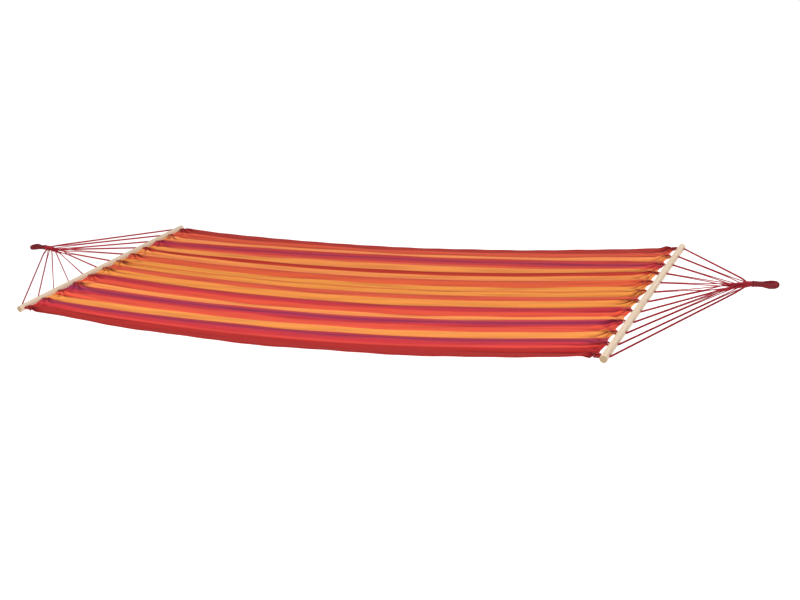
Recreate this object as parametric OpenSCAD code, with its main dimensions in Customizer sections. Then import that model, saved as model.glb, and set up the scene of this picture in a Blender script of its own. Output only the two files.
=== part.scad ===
// Spreader-bar cloth hammock: a striped cloth bed gathered at twelve points
// on each end, a round wooden spreader bar at each end, twelve doubled cords
// per end fanned through the bar and gathered into a whipped hanging eye.
// X runs along the bed, head at -X and foot at +X, Y across it, Z up. The
// origin is at the bottom centre of the bounding box. Millimetres.

/* [Overall] */

// Length of each wooden spreader bar, which sets the width of the bed
bar_len = 1000; // [700:10:1500]

// Distance between the axes of the two spreader bars
bar_span = 2200; // [1500:10:2600]

// Distance from a bar's axis to the outer tip of the eye on that end
fan_len = 400; // [300:5:700]

// How far the eyes lie above the bar axes when the empty hammock hangs
eye_rise = 61; // [0:1:200]

// How far the cloth sags below the bar axes at mid length
sag = 50; // [0:1:300]

/* [Spreader bars] */

// Diameter of the round wooden bars
bar_d = 24; // [18:1:40]

// Chamfer on the ends of the bars
bar_chamfer = 2; // [0.5:0.5:4]

// Number of cord holes in each bar; the nodes build twelve cords per end
cords = 12; // [6:2:20]

// Distance from the end of a bar to its outermost hole
end_margin = 25; // [15:1:60]

// Diameter of the cord holes
hole_d = 7.6; // [7.2:0.1:12]

/* [Cords] */

// Diameter of one strand; each cord is doubled, so two pass through each hole
strand_d = 3; // [2:0.1:4]

// Distance from a bar's axis to the rolled hem of the cloth
hem_offset = 27; // [24:1:80]

// Diameter of the rolled hem that the cords loop around
roll_d = 6; // [4:0.5:8]

/* [Cloth] */

// Thickness of the cloth bed
cloth_t = 3; // [1.5:0.1:5]

// Thickness of the folded hems along the two long sides
hem_t = 5; // [3:0.5:8]

// Width of the folded side hems
hem_w = 14; // [8:1:30]

// Half width of the cloth at its ends
half_w_end = 487; // [300:1:740]

// How much each side bows outward at mid length
side_bow = 20; // [0:1:60]

// Depth of the scallops between two gathering points
scallop = 18; // [5:1:30]

// Width of the tab of cloth at each gathering point
tab_w = 16; // [13:1:24]

/* [Eyes] */

// Radius of the opening in each eye, the size of hook or ring it takes
eye_r = 12; // [8:0.5:25]

// Radius of the whipped cord bundle that forms an eye
eye_tube_r = 6.2; // [4:0.1:12]

// Outer diameter of the whipped neck
neck_d = 20; // [16:1:40]

/* [Hidden] */

$fn = 64;

wood = [0.86, 0.78, 0.64];
red = [0.45, 0.05, 0.09];
cloth_a = [0.88, 0.42, 0.28];
cloth_b = [0.80, 0.28, 0.34];

// Places. Pieces at an end are drawn on the +X side and mirrored for -X.
bar_x = bar_span / 2;
bar_z = sag + hem_t / 2;      // the side hem's underside at mid length is z = 0
roll_x = bar_x - hem_offset;  // axis of the rolled hem
eye_z = bar_z + eye_rise;
apex_x = bar_x + 318;         // where the cords converge
pitch = (bar_len - 2 * end_margin) / (cords - 1);

function cord_y(i) = -bar_len / 2 + end_margin + i * pitch;

// ---- Cord sizes ----

strand_r = strand_d / 2;
bend_r = strand_r + 0.2;              // ball at each bend of a strand
bend_turn = [40, 25, 80];             // rotation of each bend ball
loop_gap = 0.15;                      // between the roll and a bend ball
loop_r = roll_d / 2 + bend_r + loop_gap; // centre line of a loop
pair_z = strand_r + 0.3;              // a strand above or below its cord's axis
layer_z = 3.5;                        // even cords end this far up, odd ones down
bend_x = bar_d / 2 + 2.2;             // bends either side of the bar's axis
knot_r = 14.5;                        // ball at the apex
strand_end = knot_r + 0.9;            // strands stop this far from their apex

// ---- Bed ----

panels = 5;
panel_gap = 0.4;
panel_len = 2 * roll_x / panels;
steps = 6;         // straight segments along each panel's curves
past_end = 1;      // a cut's run past the ends of a panel
bed_z0 = -200;     // vertical prism that takes in the whole bed
bed_h = 600;
cut_z0 = -100;     // vertical cuts at the end of the bed
cut_h = 400;
notch_depth = loop_r + strand_r + 1.8; // inboard from the roll's axis
notch_w = strand_d + 4;
notch_past = 20;   // outboard from the roll's axis
roll_inset = 0.5;  // a roll is this much shorter than its tab at each end

// centre line of the cloth: a shallow curve between the rolled hems
function bed_z(x) = bar_z - sag * (1 - pow(x / roll_x, 2));

// half width of the cloth along its length
function half_w(x) = half_w_end + side_bow * (1 - pow(x / roll_x, 2));

// low-x edge of panel k, counted from 0 at the head
function panel_x(k) = -roll_x + k * panel_len + panel_gap / 2;

function station(x0, x1, k) = x0 + (x1 - x0) * k / steps;

// curved strip of the given thickness between x0 and x1, wider than the bed
module strip(x0, x1, thickness) {
  xs = [for (k = [0:steps]) station(x0, x1, k)];
  translate([0, bar_len, 0]) rotate([90, 0, 0])
    linear_extrude(height = 2 * bar_len)
      polygon(concat(
        [for (k = [0:steps]) [xs[k], bed_z(xs[k]) - thickness / 2]],
        [for (k = [steps:-1:0]) [xs[k], bed_z(xs[k]) + thickness / 2]]));
}

// plan outline between x0 and x1, inset from both long sides
module outline(x0, x1, inset) {
  xs = [for (k = [0:steps]) station(x0, x1, k)];
  polygon(concat(
    [for (k = [0:steps]) [xs[k], -half_w(xs[k]) + inset]],
    [for (k = [steps:-1:0]) [xs[k], half_w(xs[k]) - inset]]));
}

// plan of the hem on one long side: side is 1 for +Y, -1 for -Y
module hem_outline(x0, x1, side) {
  difference() {
    outline(x0, x1, 0);
    outline(x0 - past_end, x1 + past_end, hem_w);
    // the other half of the bed
    translate([x0 - past_end, side > 0 ? -bar_len : 0])
      square([x1 - x0 + 2 * past_end, bar_len]);
  }
}

// cloth between x0 and x1 with a thicker folded hem along both long sides
module cloth(x0, x1) {
  intersection() {
    strip(x0, x1, cloth_t);
    translate([0, 0, bed_z0]) linear_extrude(height = bed_h)
      outline(x0, x1, hem_w / 2);
  }
  for (side = [-1, 1]) intersection() {
    strip(x0, x1, hem_t);
    translate([0, 0, bed_z0]) linear_extrude(height = bed_h)
      hem_outline(x0, x1, side);
  }
}

module inner_panel(k) {
  cloth(panel_x(k), panel_x(k) + panel_len - panel_gap);
}

// end panel: scalloped edge, rolled tabs, notches for the loops
module end_panel() {
  chord = pitch - tab_w;
  scallop_r = chord * chord / (8 * scallop) + scallop / 2;
  difference() {
    cloth(panel_x(panels - 1), roll_x);
    for (i = [0:cords - 2])
      translate([roll_x + scallop_r - scallop, (cord_y(i) + cord_y(i + 1)) / 2, cut_z0])
        cylinder(r = scallop_r, h = cut_h);
    for (i = [0:cords - 1])
      translate([roll_x - notch_depth, cord_y(i) - notch_w / 2, cut_z0])
        cube([notch_depth + notch_past, notch_w, cut_h]);
  }
  for (i = [0:cords - 1])
    translate([roll_x, cord_y(i) + tab_w / 2 - roll_inset, bar_z]) rotate([90, 0, 0])
      cylinder(d = roll_d, h = tab_w - 2 * roll_inset);
}

module bed_panel_1() { color(cloth_a) mirror([1, 0, 0]) end_panel(); }
module bed_panel_2() { color(cloth_b) inner_panel(1); }
module bed_panel_3() { color(cloth_a) inner_panel(2); }
module bed_panel_4() { color(cloth_b) inner_panel(3); }
module bed_panel_5() { color(cloth_a) end_panel(); }

// ---- Spreader bars ----

// round bar with chamfered ends and a row of cord holes along X
module bar() {
  half_len = bar_len / 2;
  radius = bar_d / 2;
  difference() {
    translate([bar_x, 0, bar_z]) rotate([90, 0, 0]) rotate_extrude()
      polygon([
        [0, -half_len],
        [radius - bar_chamfer, -half_len],
        [radius, -half_len + bar_chamfer],
        [radius, half_len - bar_chamfer],
        [radius - bar_chamfer, half_len],
        [0, half_len]]);
    for (i = [0:cords - 1])
      translate([bar_x - bar_d, cord_y(i), bar_z]) rotate([0, 90, 0])
        cylinder(d = hole_d, h = 2 * bar_d);
  }
}

module head_bar() { color(wood) mirror([1, 0, 0]) bar(); }
module foot_bar() { color(wood) bar(); }

// ---- Cords ----

// one straight length of strand between two points
module strand(from, to) {
  run = to - from;
  length = norm(run);
  translate(from) rotate([0, acos(run[2] / length), atan2(run[1], run[0])])
    cylinder(r = strand_r, h = length);
}

module bend(point) {
  translate(point) rotate(bend_turn) sphere(r = bend_r);
}

// one doubled cord: a loop round the rolled hem, two strands through the
// bar, then straight runs that stop just short of the knot
module cord(i) {
  y = cord_y(i);
  layer = (i % 2 == 0) ? 1 : -1;
  // loop round the inboard half of the roll
  translate([roll_x, y, bar_z]) rotate([90, 0, 0]) rotate([0, 0, 90])
    rotate_extrude(angle = 180) translate([loop_r, 0]) circle(r = strand_r);
  for (k = [-1, 1]) {
    loop_end = [roll_x, y, bar_z + k * loop_r];
    inboard = [bar_x - bend_x, y, bar_z + k * pair_z];
    outboard = [bar_x + bend_x, y, bar_z + k * pair_z];
    apex = [apex_x, 0, eye_z + layer * layer_z + k * pair_z];
    tip = apex + (outboard - apex) * strand_end / norm(outboard - apex);
    bend(loop_end);
    strand(loop_end, inboard);
    bend(inboard);
    strand(inboard, outboard);
    bend(outboard);
    strand(outboard, tip);
  }
}

module head_cord(i) { color(red) mirror([1, 0, 0]) cord(i); }
module foot_cord(i) { color(red) cord(i); }

module head_cord_01() { head_cord(0); }
module head_cord_02() { head_cord(1); }
module head_cord_03() { head_cord(2); }
module head_cord_04() { head_cord(3); }
module head_cord_05() { head_cord(4); }
module head_cord_06() { head_cord(5); }
module head_cord_07() { head_cord(6); }
module head_cord_08() { head_cord(7); }
module head_cord_09() { head_cord(8); }
module head_cord_10() { head_cord(9); }
module head_cord_11() { head_cord(10); }
module head_cord_12() { head_cord(11); }
module foot_cord_01() { foot_cord(0); }
module foot_cord_02() { foot_cord(1); }
module foot_cord_03() { foot_cord(2); }
module foot_cord_04() { foot_cord(3); }
module foot_cord_05() { foot_cord(4); }
module foot_cord_06() { foot_cord(5); }
module foot_cord_07() { foot_cord(6); }
module foot_cord_08() { foot_cord(7); }
module foot_cord_09() { foot_cord(8); }
module foot_cord_10() { foot_cord(9); }
module foot_cord_11() { foot_cord(10); }
module foot_cord_12() { foot_cord(11); }

// ---- Necks and eyes ----

eye_flat = 0.7;                             // depth the opening cuts into the ring
ring_r = eye_r + eye_tube_r - eye_flat;     // centre line of the ring
eye_x = bar_x + fan_len - ring_r - eye_tube_r;
neck_end = 16.5;                            // end of the neck to the eye's centre
opening_h = 40;                             // height of the cut for the opening

module ring() {
  translate([eye_x, 0, eye_z]) rotate_extrude()
    translate([ring_r, 0]) circle(r = eye_tube_r);
}

// whipped neck: a ball where the cords come together and a wrapped cylinder
// that grips the inboard side of the eye
module neck() {
  difference() {
    union() {
      translate([apex_x, 0, eye_z]) sphere(r = knot_r);
      translate([apex_x, 0, eye_z]) rotate([0, 90, 0])
        cylinder(d = neck_d, h = eye_x - neck_end - apex_x);
    }
    ring();
  }
}

// eye: a ring of whipped cord with a short cylindrical wall inside
module eye() {
  difference() {
    ring();
    translate([eye_x, 0, eye_z - opening_h / 2]) cylinder(r = eye_r, h = opening_h);
  }
}

module head_neck() { color(red) mirror([1, 0, 0]) neck(); }
module foot_neck() { color(red) neck(); }
module head_eye() { color(red) mirror([1, 0, 0]) eye(); }
module foot_eye() { color(red) eye(); }

bed_panel_1();
bed_panel_2();
bed_panel_3();
bed_panel_4();
bed_panel_5();
head_bar();
foot_bar();
head_cord_01();
head_cord_02();
head_cord_03();
head_cord_04();
head_cord_05();
head_cord_06();
head_cord_07();
head_cord_08();
head_cord_09();
head_cord_10();
head_cord_11();
head_cord_12();
foot_cord_01();
foot_cord_02();
foot_cord_03();
foot_cord_04();
foot_cord_05();
foot_cord_06();
foot_cord_07();
foot_cord_08();
foot_cord_09();
foot_cord_10();
foot_cord_11();
foot_cord_12();
head_neck();
foot_neck();
head_eye();
foot_eye();
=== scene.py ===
# A striped cloth hammock with a turned wooden spreader bar at each end. It lies along X,
# the foot at +X and the head at -X, with its width along Y. Twelve doubled cords at each
# end run from the rolled hem through the bar and fan in to a whipped neck and eye.
# "Near" is -Y and "far" is +Y. "Inboard" is towards x = 0.
import math

import bpy
import numpy as np
from mathutils import Matrix, Vector


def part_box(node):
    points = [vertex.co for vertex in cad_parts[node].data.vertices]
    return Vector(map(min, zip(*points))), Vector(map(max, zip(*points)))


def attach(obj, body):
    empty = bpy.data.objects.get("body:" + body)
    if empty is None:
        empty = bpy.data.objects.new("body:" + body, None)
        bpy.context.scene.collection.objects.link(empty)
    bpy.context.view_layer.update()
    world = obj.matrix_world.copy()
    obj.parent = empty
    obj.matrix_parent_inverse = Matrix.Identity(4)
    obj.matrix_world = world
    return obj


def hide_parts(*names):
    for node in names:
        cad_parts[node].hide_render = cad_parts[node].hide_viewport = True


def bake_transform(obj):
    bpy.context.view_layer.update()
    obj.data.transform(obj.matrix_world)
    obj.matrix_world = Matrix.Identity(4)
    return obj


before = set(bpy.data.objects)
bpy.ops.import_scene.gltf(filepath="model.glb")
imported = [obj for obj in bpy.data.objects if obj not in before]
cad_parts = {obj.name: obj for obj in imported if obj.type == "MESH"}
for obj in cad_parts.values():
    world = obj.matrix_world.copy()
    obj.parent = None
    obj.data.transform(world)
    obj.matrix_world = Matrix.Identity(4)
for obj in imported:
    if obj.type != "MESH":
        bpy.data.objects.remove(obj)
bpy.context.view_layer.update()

# ------------------------------------------------------------------ sizes
# In millimetres unless said otherwise. Meshes are scaled to metres when they are made.
ENDS = (("foot", 1), ("head", -1))  # name of each end and the sign of its X

lo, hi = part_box("foot_bar")
BAR_X = (lo.x + hi.x) * 500
BAR_R = (hi.x - lo.x) * 500
BAR_Z = (lo.z + hi.z) * 500
BAR_HALF = hi.y * 1000
lo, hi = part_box("foot_eye")
EYE_X = hi.x * 1000 - (hi.y - lo.y) * 500
EYE_Z = (lo.z + hi.z) * 500
lo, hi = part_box("bed_panel_3")
HALF_MID = hi.y * 1000              # half width of the cloth at mid length
lo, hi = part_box("bed_panel_5")
END_X = hi.x * 1000                 # tip of the rolled hem
HALF_END = 487.0                    # half width of the cloth at its ends
ROLL_R = 3.0
ROLL_X = END_X - ROLL_R             # centre line of the rolled hem
SAG = 50.0                          # drop of the cloth at mid length

CORDS = 12
END_HOLE = 25.0                     # bar end to its first hole
PITCH = (2 * BAR_HALF - 2 * END_HOLE) / (CORDS - 1)
APEX_X = 1418.0                     # where the fan of cords meets the neck


def gather_y(i):
    """Y of cord i, its hole in the bar and the gather it makes in the cloth."""
    return -BAR_HALF + END_HOLE + i * PITCH


def ease(value, start, end):
    """Smooth step from 0 at start to 1 at end; start may be the greater."""
    a = np.clip((value - start) / (end - start), 0.0, 1.0)
    return a * a * (3 - 2 * a)


def bell(value, width):
    return np.exp(-(value / width) ** 2)


# --------------------------------------------------------- shader helpers
def srgb(*channels):
    """sRGB 0-255 to a linear colour with alpha."""
    out = []
    for c in channels:
        c = c / 255.0
        out.append(c / 12.92 if c <= 0.04045 else ((c + 0.055) / 1.055) ** 2.4)
    return (*out, 1.0)


class Shader:
    """A material with a Principled surface, and short ways to add nodes to it."""

    def __init__(self, name):
        self.material = bpy.data.materials.new(name)
        self.material.use_nodes = True
        self.tree = self.material.node_tree
        self.tree.nodes.clear()
        output = self.new("ShaderNodeOutputMaterial")
        self.surface = self.new("ShaderNodeBsdfPrincipled")
        self.put(output.inputs[0], self.surface.outputs[0])

    def new(self, kind, **props):
        node = self.tree.nodes.new(kind)
        for key, value in props.items():
            setattr(node, key, value)
        return node

    def put(self, socket, value):
        """Link a socket, or set a plain value; None leaves the default."""
        if isinstance(value, bpy.types.NodeSocket):
            self.tree.links.new(value, socket)
        elif value is not None:
            socket.default_value = value

    def math(self, op, a, b=None, clamp=False):
        node = self.new("ShaderNodeMath", operation=op, use_clamp=clamp)
        self.put(node.inputs[0], a)
        self.put(node.inputs[1], b)
        return node.outputs[0]

    def times(self, a, b, clamp=False):
        return self.math("MULTIPLY", a, b, clamp)

    def plus(self, a, b):
        return self.math("ADD", a, b)

    def minus(self, a, b):
        return self.math("SUBTRACT", a, b)

    def size(self, a):
        return self.math("ABSOLUTE", a)

    def span(self, value, between, to=(0.0, 1.0), smooth=True):
        """Carry the range `between` onto the range `to`."""
        node = self.new("ShaderNodeMapRange",
                        interpolation_type="SMOOTHSTEP" if smooth else "LINEAR")
        for socket, number in zip(node.inputs, (value, *between, *to)):
            self.put(socket, number)
        return node.outputs[0]

    def mix(self, share, under, over, blend="MIX"):
        node = self.new("ShaderNodeMix", data_type="RGBA", blend_type=blend)
        for index, value in ((0, share), (6, under), (7, over)):
            self.put(node.inputs[index], value)
        return node.outputs[2]

    def vec(self, x, y, z=0.0):
        node = self.new("ShaderNodeCombineXYZ")
        for socket, value in zip(node.inputs, (x, y, z)):
            self.put(socket, value)
        return node.outputs[0]

    def tint(self, colour, red, green=None, blue=None):
        """Multiply a colour by three factors, or all of it by one."""
        factors = self.vec(red, red if green is None else green,
                           red if blue is None else blue)
        return self.mix(1.0, colour, factors, "MULTIPLY")

    def noise(self, vector, scale=1.0, detail=2.0, rough=0.5):
        node = self.new("ShaderNodeTexNoise")
        for key, value in (("Vector", vector), ("Scale", scale), ("Detail", detail),
                           ("Roughness", rough)):
            self.put(node.inputs[key], value)
        return node.outputs[0]

    def grain(self, coords, rates, **noise):
        """Noise stretched by its own rate along each coordinate."""
        return self.noise(self.vec(*[self.times(c, r) for c, r in zip(coords, rates)]),
                          **noise)

    def split(self, vector):
        node = self.new("ShaderNodeSeparateXYZ")
        self.put(node.inputs[0], vector)
        return node.outputs

    def uv(self, name):
        return self.split(self.new("ShaderNodeUVMap", uv_map=name).outputs[0])[:2]

    def attr(self, name):
        return self.new("ShaderNodeAttribute", attribute_name=name,
                        attribute_type="GEOMETRY").outputs["Fac"]

    def ramp(self, share, stops):
        node = self.new("ShaderNodeValToRGB")
        elements = node.color_ramp.elements
        while len(elements) > 1:
            elements.remove(elements[-1])
        elements[0].position, elements[0].color = stops[0]
        for place, colour in stops[1:]:
            elements.new(place).color = colour
        self.put(node.inputs[0], share)
        return node.outputs[0]

    def bump(self, height, strength, distance, normal=None):
        node = self.new("ShaderNodeBump")
        for key, value in (("Strength", strength), ("Distance", distance),
                           ("Height", height), ("Normal", normal)):
            self.put(node.inputs[key], value)
        return node.outputs[0]

    def finish(self, **values):
        """Set surface inputs, named with _ for each space."""
        for key, value in values.items():
            self.put(self.surface.inputs[key.replace("_", " ")], value)
        return self.material


# -------------------------------------------------------------- materials
# The stripes of the woven cloth, from the far (+Y) side hem to the near one:
# far limit, near limit (mm across the cloth), sRGB colour at each limit.
BANDS = [
    (507, 471, (158, 44, 42), (170, 50, 46)),
    (471, 426, (220, 88, 62), (204, 78, 50)),
    (426, 394, (244, 148, 86), (242, 142, 78)),
    (394, 360, (186, 56, 56), (184, 46, 62)),
    (360, 341, (142, 34, 74), (146, 36, 72)),
    (341, 314, (182, 46, 64), (192, 58, 58)),
    (314, 298, (213, 86, 64), (216, 92, 64)),
    (298, 250, (238, 148, 74), (240, 150, 76)),
    (250, 210, (164, 34, 24), (186, 46, 32)),
    (210, 162, (240, 148, 78), (238, 142, 76)),
    (162, 146, (196, 78, 58), (200, 82, 56)),
    (146, 98, (218, 88, 52), (222, 94, 54)),
    (98, 56, (236, 152, 66), (236, 152, 66)),
    (56, 44, (210, 116, 54), (210, 116, 54)),
    (44, 10, (236, 152, 66), (234, 148, 66)),
    (10, -38, (206, 88, 60), (222, 88, 58)),
    (-38, -94, (238, 150, 68), (240, 152, 68)),
    (-94, -112, (178, 62, 60), (170, 44, 62)),
    (-112, -142, (184, 42, 60), (204, 52, 60)),
    (-142, -182, (228, 80, 58), (230, 86, 58)),
    (-182, -214, (249, 154, 82), (249, 152, 80)),
    (-214, -232, (188, 66, 72), (170, 48, 74)),
    (-232, -248, (138, 36, 82), (144, 38, 80)),
    (-248, -270, (184, 44, 72), (204, 50, 62)),
    (-270, -318, (228, 80, 60), (234, 86, 62)),
    (-318, -366, (244, 158, 76), (244, 154, 74)),
    (-366, -382, (178, 50, 66), (164, 42, 70)),
    (-382, -396, (138, 34, 76), (148, 38, 76)),
    (-396, -430, (186, 44, 66), (206, 50, 58)),
    (-430, -442, (222, 72, 62), (212, 60, 56)),
    (-442, -507, (176, 32, 36), (148, 26, 32)),
]
BAND_SPLITS = (10, 20)              # bands that start a new colour ramp
RAMP_BLEND = 0.0034                 # metres each side of a split where two ramps mix
WIDE_BAND = 17                      # bands wider than this have the softer edge
SOFT_EDGE, SHARP_EDGE = 3.0, 2.0    # blend inside each limit of a band


def stripe_colour(mat, across):
    """Colour of the stripes, with `across` in metres."""
    first, second = BAND_SPLITS
    colours = []
    for group in (BANDS[second:], BANDS[first:second], BANDS[:first]):  # near to far
        top, bottom = group[0][0], group[-1][1]
        width = top - bottom
        stops = []
        for far, near, far_colour, near_colour in reversed(group):
            edge = SOFT_EDGE if (far - near) > WIDE_BAND else SHARP_EDGE
            low = (near - bottom + (edge if near > bottom else 0)) / width
            high = (far - bottom - (edge if far < top else 0)) / width
            stops += [(low, srgb(*near_colour)), (high, srgb(*far_colour))]
        share = mat.span(across, between=(bottom / 1000, top / 1000), smooth=False)
        colours.append(mat.ramp(share, stops))
    colour = colours[0]
    for split, farther in ((second, colours[1]), (first, colours[2])):
        cut = BANDS[split][0] / 1000
        share = mat.span(across, between=(cut - RAMP_BLEND, cut + RAMP_BLEND))
        colour = mat.mix(share, colour, farther)
    return colour


def weave(mat, u, v, pitch):
    """Plain weave: its height 0-1, and 1 where a crossing thread is on top."""
    bias = 0.55                     # keeps a little of each thread where it dips under
    wave_u = mat.math("SINE", mat.times(u, math.pi / pitch))
    wave_v = mat.math("SINE", mat.times(v, math.pi / pitch))
    sign_u, sign_v = mat.math("SIGN", wave_u), mat.math("SIGN", wave_v)
    over = mat.times(mat.times(wave_u, sign_v), 0.5)
    under = mat.times(mat.times(wave_v, sign_u), 0.5)
    warp = mat.times(mat.size(wave_v), mat.plus(over, bias))
    weft = mat.times(mat.size(wave_u), mat.minus(bias, under))
    top = mat.math("GREATER_THAN", weft, warp)
    return mat.math("MAXIMUM", warp, weft), top


def cloth_material():
    mat = Shader("striped_cotton")
    thread_pitch = 0.00125          # metres
    wander, feather = 0.004, 0.006  # metres the stripe edges stray, slow and fine
    weft_show = 0.26                # share of the crossing threads seen
    uv = u, v = mat.uv("fabric")
    # slow wander of whole stripes and a feathered edge, thread by thread
    slow = mat.grain(uv, rates=(1.6, 7.0), detail=1.0)
    fine = mat.grain(uv, rates=(9.0, 800.0), detail=2.0)
    across = mat.plus(v, mat.times(mat.minus(slow, 0.5), wander))
    across = mat.plus(across, mat.times(mat.minus(fine, 0.5), feather))
    warp = stripe_colour(mat, across)
    # single threads that are a little lighter or darker than their stripe
    streak = mat.grain(uv, rates=(5.0, 420.0), detail=3.0, rough=0.65)
    broad = mat.grain(uv, rates=(2.2, 62.0), detail=2.0, rough=0.6)
    light = mat.plus(
        mat.span(streak, between=(0.25, 0.75), to=(0.90, 1.10), smooth=False),
        mat.span(broad, between=(0.25, 0.75), to=(-0.08, 0.08), smooth=False))
    warp = mat.tint(warp, light)
    # the crossing threads are one coral colour and show between the warps
    height, top = weave(mat, u, v, thread_pitch)
    slub = mat.grain(uv, rates=(520.0, 12.0), detail=1.0)
    weft = mat.mix(slub, srgb(218, 84, 56), srgb(180, 58, 48))
    colour = mat.mix(mat.times(top, weft_show), warp, weft)
    # painted shade in the valleys of the weave
    colour = mat.tint(colour, mat.span(height, between=(0.05, 0.7), to=(0.80, 1.03)))
    # painted shade darkens and reddens the cloth deep in its folds; a painted highlight
    # makes the crests paler
    deep = mat.attr("fold_shade")
    fold_shade = mat.plus(mat.span(deep, between=(-1.0, 0.0), to=(0.60, 1.0), smooth=False),
                    mat.span(deep, between=(0.0, 1.0), to=(0.0, 0.13), smooth=False))
    green_power, blue_power = 1.25, 1.1
    colour = mat.tint(colour, fold_shade, mat.math("POWER", fold_shade, green_power),
                      mat.math("POWER", fold_shade, blue_power))
    # painted shade: gathered cloth turns dark maroon where the cords draw it in
    pucker_shade = mat.attr("pucker_shade")
    thread = mat.span(streak, between=(0.3, 0.7), to=(0.75, 1.0), smooth=False)
    colour = mat.mix(mat.times(pucker_shade, thread, clamp=True), colour, srgb(98, 14, 24))
    # hems are rubbed a little paler on their folded edge
    hem = mat.attr("hem")
    rub = mat.grain(uv, rates=(60.0, 500.0), detail=3.0)
    wear = mat.times(hem, mat.span(rub, between=(0.52, 0.75), to=(0.0, 0.30)))
    colour = mat.mix(wear, colour, srgb(232, 150, 128))
    fluff = mat.grain(uv, rates=(900.0, 900.0), detail=2.0)
    normal = mat.bump(height, strength=0.55, distance=0.00035)
    normal = mat.bump(fluff, strength=0.25, distance=0.0003, normal=normal)
    normal = mat.bump(broad, strength=0.35, distance=0.0012, normal=normal)
    rough = mat.span(fluff, between=(0.3, 0.7), to=(0.82, 0.95), smooth=False)
    return mat.finish(Base_Color=colour, Roughness=rough, Normal=normal,
                      Specular_IOR_Level=0.10, Sheen_Weight=0.03, Sheen_Roughness=0.55,
                      Sheen_Tint=srgb(255, 214, 190))


def thread_material():
    """Sewing thread of the hems."""
    mat = Shader("sewing_thread")
    fluff = mat.grain(mat.uv("fabric"), rates=(700.0, 700.0), detail=2.0)
    return mat.finish(Base_Color=mat.mix(fluff, srgb(150, 34, 40), srgb(214, 96, 80)),
                      Roughness=0.62, Specular_IOR_Level=0.35,
                      Normal=mat.bump(fluff, strength=0.4, distance=0.0002))


def rope_material(name, dark, mid, bright, fibre_rate):
    """Laid rope. Its UV runs along it in metres and once round it."""
    mat = Shader(name)
    uv = mat.uv("rope")
    ply_shade = mat.attr("ply_shade")
    fibre = mat.grain(uv, rates=(fibre_rate, 26.0), detail=3.0, rough=0.6)
    patch = mat.grain(uv, rates=(35.0, 1.0), detail=2.0)
    # painted shade: each strand darkens into the grooves between strands
    colour = mat.mix(mat.span(ply_shade, between=(0.0, 1.0)), srgb(*dark), srgb(*mid))
    colour = mat.mix(mat.span(fibre, between=(0.42, 0.8), to=(0.0, 0.65)),
                     colour, srgb(*bright))
    colour = mat.tint(colour, mat.span(patch, between=(0.25, 0.75), to=(0.84, 1.16),
                                       smooth=False))
    normal = mat.bump(fibre, strength=0.6, distance=0.00025)
    rough = mat.span(fibre, between=(0.2, 0.8), to=(0.78, 0.60), smooth=False)
    return mat.finish(Base_Color=colour, Roughness=rough, Normal=normal,
                      Specular_IOR_Level=0.25, Sheen_Weight=0.08, Sheen_Roughness=0.5)


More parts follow.
